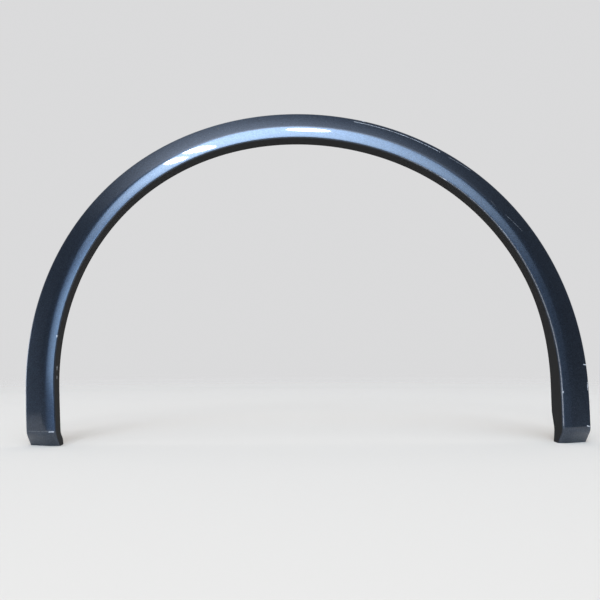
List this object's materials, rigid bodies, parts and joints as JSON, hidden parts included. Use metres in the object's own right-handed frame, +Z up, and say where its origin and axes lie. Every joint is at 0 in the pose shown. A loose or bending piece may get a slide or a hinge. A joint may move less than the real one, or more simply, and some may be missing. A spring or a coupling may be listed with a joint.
{
  "type": "wheel arch trim",
  "caption": "Painted dark blue-grey wheel arch trim, a moulded arch with a turned-in lip and closed feet, and push-in clips on its back",
  "frame": {"origin": "on the floor under the middle of the trim's box, between its two feet", "axes": "+X along the vehicle's side, -Y out from the vehicle towards the viewer, +Y in towards the body, +Z up"},
  "size_m": [0.9634, 0.0747, 0.5704],
  "materials": {
    "body_paint": "dark blue-grey metallic paint under clear lacquer, worn at a few edges",
    "clip_nylon": "natural nylon"
  },
  "bodies": {
    "root": {"arch_trim": "body_paint", "retaining_clips": "clip_nylon"}
  },
  "joints": []
}
